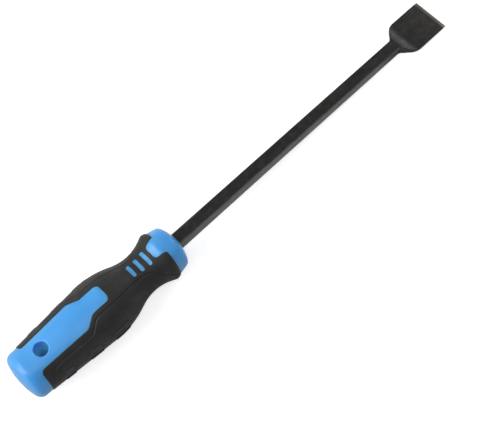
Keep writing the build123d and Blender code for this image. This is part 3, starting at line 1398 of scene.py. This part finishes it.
    def add_rear(self, shell: Shell, panel: Array) -> None:
        """Adds the panel with the hang hole's mouth, the hole's wall and the butt.

        The wall narrows evenly to the middle, where the two mould pins met, and stands in a
        little further on a land there, which it reaches by an eased shoulder.

        Args:
            shell: The piece so far.
            panel: The panel's cut edge.
        """
        handle = self.handle
        start = handle.rear_x - self.strip
        hole = self.hole_ring(0)
        border = [
            handle.bridge(panel[-1], hole[-1]),
            hole[::-1],
            handle.bridge(hole[0], [start, 0]),
            self.ring_of(start),
            handle.bridge([start, QUARTER_TURN], panel[0]),
            panel,
        ]
        self.add_open(shell, border, [self.hole_ring(extra) for extra in self.hole_rows], panel)
        mouth, shares = self.open_points(hole), np.array(self.wall_shares)
        wall = led_across(mouth, mouth * [1, 1, 0], shares)
        inside = self.land_half_length + self.land_ease - np.abs(wall[..., 2:])
        land = self.land_height * eased(inside / self.land_ease)
        narrowed = self.hole_draft * shares[:, None, None] + land
        wall[..., :2] *= 1 - narrowed / self.hole_radius
        # Painted light: wear values from 1 at the mouth to 2 in the middle, which the finish turns
        # into a paler blue deeper down the wall, where light would reach it.
        shell.add_grid(wall, wear=np.repeat(1 + shares, self.hole_places))
        side = np.array([start, self.butt_radius])
        corner = np.array([handle.butt + self.dome_rise, self.butt_radius])
        cap = self.domed_profile(side, corner, handle.butt, self.dome_rise, self.butt_round)
        from_rim = np.abs(cap[:, 0] - handle.butt - self.dome_rise)
        wear = np.repeat(fading(from_rim, self.butt_wear_reach), self.turns + 1)
        shell.add_grid(self.revolved(cap), flip=True, wear=wear)

    def add_front(self, shell: Shell, tongue: Array, shank: "BladeShank") -> None:
        """Adds the tongue, the collar, the nose dome and the socket that holds the tang.

        The nose's rings go over into the bar's square outline by even shares, and each ring
        of the socket is the tang's own outline at its station, a gap wider all round.

        Args:
            shell: The piece so far.
            tongue: The tongue's cut edge.
            shank: The forging.
        """
        handle = self.handle
        start = handle.front_x + self.strip
        border = [
            tongue[::-1],
            handle.bridge(tongue[0], [start, 0]),
            self.ring_of(start),
            handle.bridge([start, QUARTER_TURN], tongue[-1]),
        ]
        self.add_open(shell, border, [], tongue)
        side = np.array([start, float(self.radius(np.array([start]))[0])])
        corner = np.array([handle.nose_x - self.nose_rise, self.nose_radius])
        cap = self.domed_profile(side, corner, handle.nose_x, self.nose_rise, self.nose_round)
        inwards = cap[::-1, ::-1]
        grid = self.revolved(cap[cap[:, 1] > self.apron_from * shank.bar_half])
        stations = shank.socket_stations()[:, None]
        reach = shank.reach(stations, self.quarter) + self.bar_gap
        socket = turned(stations, self.quarter, reach)
        square = socket[0].copy()
        square[:, 0] = read_path(inwards, reach[0])
        apron = led_across(grid[-1], square, np.linspace(0, 1, self.apron_rows)[1:])
        apron[..., 0] = read_path(inwards, np.hypot(apron[..., 1], apron[..., 2]))
        end = socket[-1:] * [1, 0, 0]
        shell.add_grid(np.concatenate([grid, apron, socket[1:], end]))

    def build(self, grip: SoftGrip, shank: "BladeShank", material: Material) -> Piece:
        """Makes the core as one closed solid: open regions, the seat below the grip and walls.

        Args:
            grip: The grip, whose border the seat shares.
            shank: The forging, whose tang the socket fits.
            material: The finish.

        Returns:
            The object.
        """
        handle, shell = self.handle, Shell()
        cuts = handle.cut_paths()
        self.add_rear(shell, cuts[0])
        self.add_front(shell, cuts[-1], shank)
        for dash in cuts[1:-1]:
            self.add_open(shell, [handle.bridge(dash[0], dash[-1]), dash[::-1]], [], dash)
        seat = Sheet.spread(grip.border(), [], handle.coarse)
        depth = handle.wall + self.seat_gap
        radius = handle.skin.radius(seat.places[:, 0]) - depth
        shell.add(on_quarter(seat.places, radius), seat.triangles[:, ::-1])
        for cut in cuts:
            bottom = on_quarter(cut, handle.skin.radius(cut[:, 0]) - depth)
            shell.add_grid(np.stack([self.open_points(cut), bottom]), flip=True)
        piece = shell.mirrored().to_object("handle_core_body", material)
        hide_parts("handle_core")
        return piece


@dataclass
class BladeShank:
    """The forging: tang, square bar, flared neck, a ramp to each face and the ground tip.

    Attributes:
        tang_tip_share: Size of the tang's blunt end as a share of its section.
        wing_ease: Length over which a wing eases in or out.
        bar_half: Half the bar's side at the handle, which narrows to the end sizes at the neck.
        arris: Size of the bar's flattened edges, and arris_end at the neck.
        arris_limit: Largest arris, as a share of the half thickness.
        arris_rows: Rows of places over an arris, as shares of it out from the top and down.
        ramp_from_neck: Distance from the neck to the ramp's crest.
        lead: Length of bar that is laid out before the neck's round.
        socket_reach: Depth below the nose at which the tang's own stations begin.
        web_past: How far past the bar's side the wing's thick root reaches.
        least_wing: Width past the bar's by which a wing is told from the bar.
        across: Steps across the section's top, and side_rows the rows down its side.
        tip_rows: Distances of the stations at the tip from the cutting edge.
    """

    handle: HandlePlan
    exposed: float = 190.7
    tang: float = 74.0
    tang_point: float = 4.0
    tang_tip_share: float = 0.55
    wing_from_end: float = 12.0
    wing_length: float = 11.0
    wing_half: float = 5.5
    wing_half_thickness: float = 2.1
    wing_ease: float = 2.2
    bar_half: float = 3.7
    end_half_width: float = 3.5
    end_half_thickness: float = 2.8
    arris: float = 0.5
    arris_end: float = 0.25
    arris_limit: float = 0.3
    arris_rows: tuple[tuple[float, float], ...] = (
        (0.12, 0.04), (0.24, 0.14), (0.5, 0.4), (0.76, 0.66), (0.88, 0.78), (0.96, 0.88)
    )
    blade_half: float = 10.85
    blade_length: float = 22.4
    neck_length: float = 5.9
    neck_round: float = 3.5
    shoulder_round: float = 7.0
    root_half_thickness: float = 1.1
    tip_half_thickness: float = 0.7
    ramp_from_neck: float = 1.35
    ramp_angle: float = 35.0
    ramp_foot_round: float = 12.5
    crest_round: float = 0.5
    bevel: float = 1.8
    bevel_round: float = 0.1
    edge_half_thickness: float = 0.25
    tip_corner: float = 0.3
    lead: float = 20.0
    plan_step: float = 0.1
    profile_step: float = 0.08
    socket_reach: float = 8.0
    socket_end_gap: float = 0.05
    web_past: float = 0.4
    least_wing: float = 0.01
    across: int = 36
    side_rows: int = 5
    tip_rows: tuple[float, ...] = (
        2.0, 1.86, 1.8, 1.7, 1.3, 0.9, 0.6, 0.4, 0.25, 0.14, 0.06, 0.02, 0.0
    )
    blade_wear: float = 0.25
    arris_wear_reach: float = 0.35
    ground_wear: float = 0.3
    ground_wear_reach: float = 0.9

    @property
    def edge_x(self) -> float:
        """Place of the cutting edge."""
        return self.handle.nose_x + self.exposed

    @property
    def shoulder_x(self) -> float:
        """Place where the flare would reach the blade's full width."""
        return self.edge_x - self.blade_length

    @property
    def neck_x(self) -> float:
        """Place where the bar begins to flare."""
        return self.shoulder_x - self.neck_length

    @property
    def tang_x(self) -> float:
        """Place of the tang's blunt end."""
        return self.handle.nose_x - self.tang

    @property
    def wing_x(self) -> float:
        """Place where the wings reach their full width."""
        return self.tang_x + self.wing_from_end

    def stations(self) -> Array:
        """Places along the tool, close together at the tang's end, the neck and the blade.

        Returns:
            The places in order.
        """
        nose, neck, shoulder, edge = self.handle.nose_x, self.neck_x, self.shoulder_x, self.edge_x
        wing, wing_end, ease = self.wing_x, self.wing_x + self.wing_length, self.wing_ease
        tang = [self.tang_x, self.tang_x + self.tang_point]
        wings = [wing - ease, wing, wing + 2, wing_end - 2, wing_end, wing_end + ease]
        # Start, end and step along the bar, up to the ramp, over the ramp and along the blade
        runs = (
            (nose - self.socket_reach, neck - 8, 4.0),
            (neck - 6, neck - 2.5, 0.8),
            (neck - 2.4, shoulder + 4, 0.16),
            (shoulder + 4.2, edge - self.bevel - 0.3, 0.6),
        )
        even = [np.arange(*run) for run in runs]
        places = np.concatenate([tang, wings, *even, edge - np.array(self.tip_rows)])
        return np.unique(np.round(places, decimals=4))

    def taper(self, along: Array) -> Array:
        """Share of the way from the handle's nose to the neck."""
        return np.clip((along - self.handle.nose_x) / (self.neck_x - self.handle.nose_x), 0, 1)

    def point(self, along: Array) -> Array:
        """Size of the section near the tang's blunt end, as a share of its full size."""
        share = np.clip((along - self.tang_x) / self.tang_point, 0, 1)
        return self.tang_tip_share + (1 - self.tang_tip_share) * share

    def half_width(self, along: Array) -> Array:
        """Half width in plan: the bar, the flared neck, the blade and, inside, the wings.

        The flare and its two rounds are a rounded path that is read at each place. The bar
        narrows evenly from the nose to the neck, the tip's corners fall off by a quarter
        round, and each wing eases in and out of the tang.

        Args:
            along: Places along the tool.

        Returns:
            Half widths of the same shape.
        """
        corners = [
            (self.neck_x - self.lead, self.end_half_width),
            (self.neck_x, self.end_half_width),
            (self.shoulder_x, self.blade_half),
            (self.edge_x, self.blade_half),
        ]
        plan = rounded_path(corners, [self.neck_round, self.shoulder_round], self.plan_step)
        width = read_path(plan, along)
        width += (self.bar_half - self.end_half_width) * (1 - self.taper(along))
        width -= round_drop(self.edge_x - along, self.tip_corner)
        width *= self.point(along)
        ease, wing = self.wing_ease, self.wing_x
        wings = eased((along - wing + ease) / ease)
        wings *= eased((wing + self.wing_length + ease - along) / ease)
        return width + (self.wing_half - self.bar_half) * wings

    def socket_stations(self) -> Array:
        """Places of the socket's rings, from the nose down to just past the tang's end.

        Returns:
            The places in order.
        """
        tang = self.stations()
        inside = tang[tang < self.handle.nose_x - self.socket_reach]
        mouth = self.handle.nose_x - self.socket_reach * np.array([0, 0.5, 1])
        return np.concatenate([mouth, inside[::-1], inside[:1] - self.socket_end_gap])

    def reach(self, along: Array, turn: Array) -> Array:
        """Distance from the axis to the tang's surface along rays.

        A ray at an angle meets a square-edged section at its top or its side, whichever comes
        first, or at the arris between them. Where the wings stand out the section is two such
        outlines, and the farther one counts.

        Args:
            along: Places along the tool, as a column.
            turn: Angles from the top, as a row.

        Returns:
            One distance per place and angle.
        """
        least = 1e-9
        sine, cosine = np.maximum(np.sin(turn), least), np.maximum(np.cos(turn), least)
        width, height = self.half_width(along), self.half_thickness(along)
        bar = np.minimum(width, self.bar_half)
        arris = (bar + height - self.arris) / (sine + cosine)
        body = np.minimum(np.minimum(bar / sine, height / cosine), arris)
        wing = np.minimum(width / sine, np.minimum(self.wing_half_thickness, height) / cosine)
        winged = width > self.bar_half + self.least_wing
        return np.where(winged, np.maximum(body, wing), body)

    def half_thickness(self, along: Array) -> Array:
        """Half thickness of the bar and the blade, with the tang's blunt point.

        The side outline runs down the ramp from the bar's end and over the face to the tip.

        Args:
            along: Places along the tool.

        Returns:
            Half thicknesses of the same shape.
        """
        slope = math.tan(math.radians(self.ramp_angle))
        crest = self.neck_x + self.ramp_from_neck
        foot = crest + (self.end_half_thickness - self.root_half_thickness) / slope
        corners = [
            (self.neck_x - self.lead, self.end_half_thickness),
            (crest, self.end_half_thickness),
            (foot, self.root_half_thickness),
            (self.edge_x - self.bevel, self.tip_half_thickness),
            (self.edge_x, self.edge_half_thickness),
        ]
        rounds = [self.crest_round, self.ramp_foot_round, self.bevel_round]
        height = read_path(rounded_path(corners, rounds, self.profile_step), along)
        height += (self.bar_half - self.end_half_thickness) * (1 - self.taper(along))
        return height * self.point(along)

    def section_grid(self) -> tuple[Array, Array]:
        """Points of the whole surface as stations by places round the section.

        Each section runs over the top from one side to the other, down the side by way of the
        arris, and back the same way along the underside. The arris is a flat that shrinks
        along the bar with a rounded start and end, and past the bar it is held to a share of
        the blade's thickness. The wings are thinner than the bar that they are pressed from.

        Returns:
            The grid, whose last column repeats its first, and its wear.
        """
        along = self.stations()[:, None]
        width, height = self.half_width(along), self.half_thickness(along)
        arris = self.arris + (self.arris_end - self.arris) * self.taper(along)
        arris = np.minimum(arris, self.arris_limit * height)
        spread = np.sin(np.linspace(-QUARTER_TURN, QUARTER_TURN, self.across + 1))
        top_y = spread * (width - arris)
        web = np.clip((self.bar_half + self.web_past - np.abs(top_y)) / (2 * self.web_past), 0, 1)
        hidden = along < self.handle.nose_x
        winged = hidden & (width > self.bar_half + self.least_wing)
        rim = np.where(winged, np.minimum(height, self.wing_half_thickness), height)
        top_z = rim + (height - rim) * eased(web)
        out, down = np.array(self.arris_rows).T
        down_y, down_z = width - arris * (1 - out), rim - arris * down
        lift = np.linspace(1, -1, self.side_rows)
        wall_y, wall_z = width * np.ones_like(lift), (rim - arris) * lift
        half_y = np.hstack([top_y, down_y, wall_y, down_y[:, ::-1]])
        half_z = np.hstack([top_z, down_z, wall_z, -down_z[:, ::-1]])
        y = np.hstack([half_y, -half_y, half_y[:, :1]])
        z = np.hstack([half_z, -half_z, half_z[:, :1]])
        near = np.hypot(np.abs(y) - width + arris / 2, np.abs(z) - rim + arris / 2)
        rubbed = np.where(along > self.neck_x, self.blade_wear, 1.0)
        wear = rubbed * fading(np.clip(near - arris / 2, 0, None), self.arris_wear_reach)
        from_bevel = np.clip(self.edge_x - self.bevel - along, 0, None)
        ground = self.ground_wear * fading(from_bevel, self.ground_wear_reach)
        grid = np.stack(np.broadcast_arrays(along, y, z), axis=-1)
        return grid, np.clip(wear + ground, 0, 1)

    def build(self, material: Material) -> Piece:
        """Makes the forging as one closed surface with flat ends.

        Args:
            material: The finish.

        Returns:
            The object.
        """
        grid, wear = self.section_grid()
        shell = Shell()
        shell.add_grid(grid, flip=True, wear=wear)
        half = (grid.shape[1] - 1) // 2
        for row, flip in ((grid[0], False), (grid[-1], True)):
            shell.add_grid(np.stack([row[: half + 1], row[half:][::-1]]), flip=flip)
        piece = shell.to_object("blade_shank_forging", material)
        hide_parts("blade_shank")
        return piece


@dataclass(frozen=True)
class Studio:
    """Floor, lamps, world and camera, in metres and degrees.

    The tool lies on its belly and its ramp, so the floor is tilted to touch both.

    Attributes:
        rest_belly: Place along the tool and height where the belly touches the floor.
        rest_ramp: The same for the ramp.
        target: Place that the camera looks at.
        focal_pixels: Focal length in pixels of a picture of width_pixels.
        floor_lift: Light that the floor seems to give where it is seen near the tool.
        floor_fade: Distances over which this rises to white.
        card_shine: Strength of the card that polished surfaces see in the floor.
        card_reach: Where the card begins and ends along the tool.
        card_ease: Half the length over which it does.
        sky_ahead: Strength of the low light from the blade's end.
        sky_beyond: Strength of the low light from beyond the tool.
        sky_top: Strength of the light overhead.
        sky_turn: Heights of a way between which low light gives way to that overhead.
        lamps: Name, place and power of each lamp.
    """

    rest_belly: tuple[float, float] = (0.0422, -0.01668)
    rest_ramp: tuple[float, float] = (0.254, -0.00282)
    target: tuple[float, float, float] = (0.12328, -0.01478, 0.0)
    distance: float = 0.78114
    azimuth: float = 34.146
    elevation: float = 64.469
    roll: float = -10.593
    focal_pixels: float = 1500.0
    width_pixels: float = 485.0
    sensor: float = 36.0
    floor_middle: float = 0.12
    floor_reach: float = 2.5
    floor_tone: float = 0.6
    floor_lift: float = 0.72
    floor_fade: tuple[float, float] = (0.35, 0.9)
    card_shine: float = 0.52
    card_reach: tuple[float, float] = (0.09, 0.245)
    card_ease: float = 0.01
    sky_ahead: float = 0.3
    sky_beyond: float = 0.95
    sky_top: float = 0.18
    sky_turn: tuple[float, float] = (0.1, 0.75)
    lamp_size: float = 0.48
    lamp_target: tuple[float, float, float] = (0.1, 0, 0)
    lamps: tuple[tuple[str, tuple[float, float, float], float], ...] = (
        ("key", (-0.5, 0.6, 0.95), 5.0),
        ("butt_side", (-0.9, 0.25, 0.45), 3.3),
        ("overhead", (-0.77, 0.08, 0.93), 4.2),
        ("fill", (0.5, -0.5, 1.3), 2.2),
        ("blade_side", (1.1, 0.2, 0.6), 2.4),
        ("camera_side", (-0.35, -0.4, 1.13), 2.5),
    )

    def build(self) -> None:
        """Builds everything that isn't the tool."""
        self.build_floor()
        self.build_world()
        self.build_lamps()
        self.build_camera()

    def build_floor(self) -> None:
        """A wide pale floor that keeps the tool's shadow, and is lifted to white where it is seen.

        It gives light of its own only to the camera and through transmission, so the tool isn't
        lit by that, and to reflections along the stretch under the bar, as a white card would.
        """
        (near_x, near_z), (far_x, far_z) = self.rest_belly, self.rest_ramp
        slope = (far_z - near_z) / (far_x - near_x)
        middle, reach = self.floor_middle, self.floor_reach
        flat = [(middle + x, y) for y in (-reach, reach) for x in (-reach, reach)]
        mesh = bpy.data.meshes.new("floor")
        corners = [(x, y, near_z + slope * (x - near_x)) for x, y in flat]
        mesh.from_pydata(corners, [], [(0, 1, 3, 2)])
        mesh.update()
        material, nodes, shader = new_material(
            "floor",
            Base_Color=(*[self.floor_tone] * 3, 1),
            Roughness=0.9,
            Specular_IOR_Level=0.0,
            Emission_Color=(1, 1, 1, 1),
        )
        path = nodes.node("LightPath")
        place = nodes.place()
        along, ease = nodes.parts(place)["X"], self.card_ease
        start, end = self.card_reach
        starts = nodes.levels(along, start - ease, start + ease)
        ends = nodes.levels(along, end - ease, end + ease, to_low=1.0, to_high=0.0)
        card = nodes.times(nodes.times(starts, ends), path.outputs["Is Glossy Ray"])
        away = nodes.node("VectorMath", {"operation": "LENGTH"}, Vector=place).outputs["Value"]
        rising = nodes.levels(away, *self.floor_fade, to_low=self.floor_lift)
        lift = nodes.times(nodes.seen(path), rising)
        strength = nodes.plus(lift, nodes.times(card, self.card_shine))
        nodes.feed(shader.inputs["Emission Strength"], strength)
        floor = linked("floor", mesh, material)

    def build_world(self) -> None:
        """A studio lit low from the blade's end and from beyond the tool, and white to the camera.

        Each low light's strength is the way's own share along its axis, never below nothing,
        and both give way to the dim overhead light as the way turns up.
        """
        world = bpy.data.worlds.new("studio")
        world.use_nodes = True
        bpy.context.scene.world = world
        nodes = NodeTree(world.node_tree)
        way = nodes.parts(nodes.node("TexCoord").outputs[Coordinate.WAY.value])
        ahead = nodes.times(nodes.larger(way["X"], 0.0), self.sky_ahead)
        beyond = nodes.times(nodes.larger(way["Y"], 0.0), self.sky_beyond)
        upward = nodes.levels(way["Z"], *self.sky_turn)
        sky = nodes.mixed(upward, nodes.plus(ahead, beyond), self.sky_top)
        strength = nodes.mixed(nodes.seen(nodes.node("LightPath")), sky, 1.0)
        background = nodes.node("Background", Color=(1, 1, 1, 1), Strength=strength)
        nodes.node("OutputWorld", Surface=background.outputs[0])

    def build_lamps(self) -> None:
        """Large soft lamps round the tool, most of their light from the butt's side and beyond."""
        for name, place, power in self.lamps:
            lamp = bpy.data.lights.new(name, "AREA")
            lamp.shape = "SQUARE"
            lamp.size = self.lamp_size
            lamp.energy = power
            holder = bpy.data.objects.new(name, lamp)
            holder.location = place
            way = Vector(self.lamp_target) - Vector(place)
            holder.rotation_euler = way.to_track_quat("-Z", "Y").to_euler()
            bpy.context.scene.collection.objects.link(holder)

    def build_camera(self) -> None:
        """A long lens at the photograph's angle.

        The view looks along +Y turned by the azimuth towards +X and down by the elevation, and
        the picture is then rolled about it.
        """
        angles = (self.azimuth, self.elevation, self.roll)
        azimuth, elevation, roll = (math.radians(angle) for angle in angles)
        flat = math.cos(elevation)
        forward = Vector((math.sin(azimuth) * flat, math.cos(azimuth) * flat, -math.sin(elevation)))
        level = Vector((math.cos(azimuth), -math.sin(azimuth), 0))
        right = level * math.cos(roll) + level.cross(forward) * math.sin(roll)
        data = bpy.data.cameras.new("camera")
        data.sensor_width = self.sensor
        data.lens = self.focal_pixels / self.width_pixels * self.sensor
        data.clip_start, data.clip_end = 0.01, 20
        camera = bpy.data.objects.new("camera", data)
        turn = Matrix((right, right.cross(forward), -forward)).transposed()
        place = Vector(self.target) - forward * self.distance
        camera.matrix_world = Matrix.Translation(place) @ turn.to_4x4()
        bpy.context.scene.collection.objects.link(camera)
        bpy.context.scene.camera = camera


def main() -> None:
    """Builds the tool and its studio and reports each piece."""
    bpy.context.scene.view_settings.view_transform = "Standard"
    groups = SharedGroups.build()
    handle = HandlePlan()
    grip = SoftGrip(handle, PadPlan(handle))
    shank = BladeShank(handle)
    makers: list[Callable[[], Piece]] = [
        lambda: shank.build(BlackenedSteel().build(groups)),
        lambda: HandleCore(handle).build(grip, shank, BluePlastic().build(groups)),
        lambda: grip.build(SoftBlack().build(groups)),
    ]
    for make in makers:
        piece = make()
        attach(piece, "root")
        log.info("%s: %d faces", piece.name, len(piece.data.polygons))
    Studio().build()


if __name__ == "__main__":
    main()
